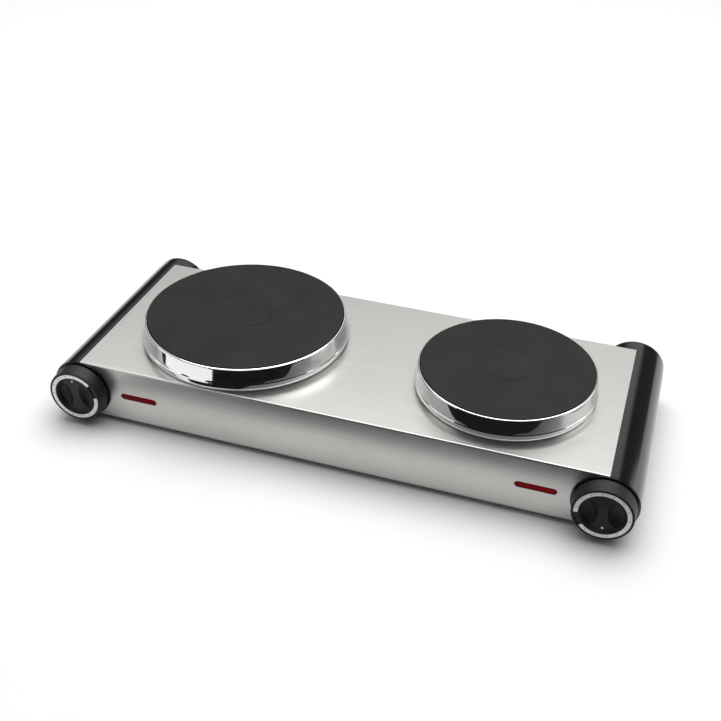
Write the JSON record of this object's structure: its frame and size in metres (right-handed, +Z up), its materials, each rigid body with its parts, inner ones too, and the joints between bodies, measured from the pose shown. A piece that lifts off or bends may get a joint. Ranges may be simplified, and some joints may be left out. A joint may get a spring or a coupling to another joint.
{
  "type": "hot plate burner",
  "caption": "Free-standing electric hot plate: round iron plates in bright trim rings on a folded steel deck between round black ends with turning knobs.",
  "frame": {"origin": "on the table, under the middle of the overall box", "axes": "+X to the user's right along the length, +Y to the rear, +Z up"},
  "size_m": [0.537, 0.225, 0.0839],
  "materials": {
    "deck_steel": "brushed along the length",
    "plain_steel": "dull zinc-plated sheet and screws",
    "iron": "matt black heat-proof coating",
    "chrome": "mirror polish",
    "gloss_black": "high gloss",
    "matt_black": "fine matt moulding",
    "dial_silver": "satin, bright edge",
    "red_lens": "deep red, translucent",
    "lamp_glass": "clear",
    "ceramic": "unglazed",
    "bakelite": "brown thermoset",
    "rubber": "matt",
    "lead_sleeve": "woven glass-fibre sleeve over wire",
    "nylon": "natural"
  },
  "bodies": {
    "housing": {"base_pan": "plain_steel", "cord_gland": "rubber", "deck": "deck_steel", "front_left_base_screw": "plain_steel", "front_left_foot": "rubber", "front_left_foot_screw": "plain_steel", "front_right_base_screw": "plain_steel", "front_right_foot": "rubber", "front_right_foot_screw": "plain_steel", "large_clamp_bar": "plain_steel", "large_heat_shield": "plain_steel", "large_hotplate": "iron", "large_plate_cover": "plain_steel", "large_plate_stud": "plain_steel", "large_return_lead": "lead_sleeve", "large_stud_nut": "plain_steel", "large_terminal_block": "ceramic", "large_trim_ring": "chrome", "left_bush_nut": "plain_steel", "left_end_cover": "gloss_black", "left_front_bezel": "gloss_black", "left_lamp_lens": "red_lens", "left_load_lead": "lead_sleeve", "left_neon_lamp": "lamp_glass", "left_rear_cap": "gloss_black", "left_supply_lead": "lead_sleeve", "left_thermostat": "bakelite", "left_thermostat_bracket": "plain_steel", "mains_terminal_block": "nylon", "rear_left_base_screw": "plain_steel", "rear_left_foot": "rubber", "rear_left_foot_screw": "plain_steel", "rear_right_base_screw": "plain_steel", "rear_right_foot": "rubber", "rear_right_foot_screw": "plain_steel", "right_bush_nut": "plain_steel", "right_end_cover": "gloss_black", "right_front_bezel": "gloss_black", "right_lamp_lens": "red_lens", "right_load_lead": "lead_sleeve", "right_neon_lamp": "lamp_glass", "right_rear_cap": "gloss_black", "right_supply_lead": "lead_sleeve", "right_thermostat": "bakelite", "right_thermostat_bracket": "plain_steel", "small_clamp_bar": "plain_steel", "small_heat_shield": "plain_steel", "small_hotplate": "iron", "small_plate_cover": "plain_steel", "small_plate_stud": "plain_steel", "small_return_lead": "lead_sleeve", "small_stud_nut": "plain_steel", "small_terminal_block": "ceramic", "small_trim_ring": "chrome"},
    "left_control": {"left_knob": "matt_black", "left_dial_ring": "dial_silver", "left_spindle": "plain_steel"},
    "right_control": {"right_knob": "matt_black", "right_dial_ring": "dial_silver", "right_spindle": "plain_steel"}
  },
  "joints": [
    {"name": "left_knob_turn", "type": "hinge", "parent": "housing", "child": "left_control", "pos_m": [-0.24, -0.1, 0.0323], "axis": [0, 1, 0], "range_deg": [0, 300]},
    {"name": "right_knob_turn", "type": "hinge", "parent": "housing", "child": "right_control", "pos_m": [0.24, -0.1, 0.0323], "axis": [0, 1, 0], "range_deg": [-182, 118]}
  ]
}
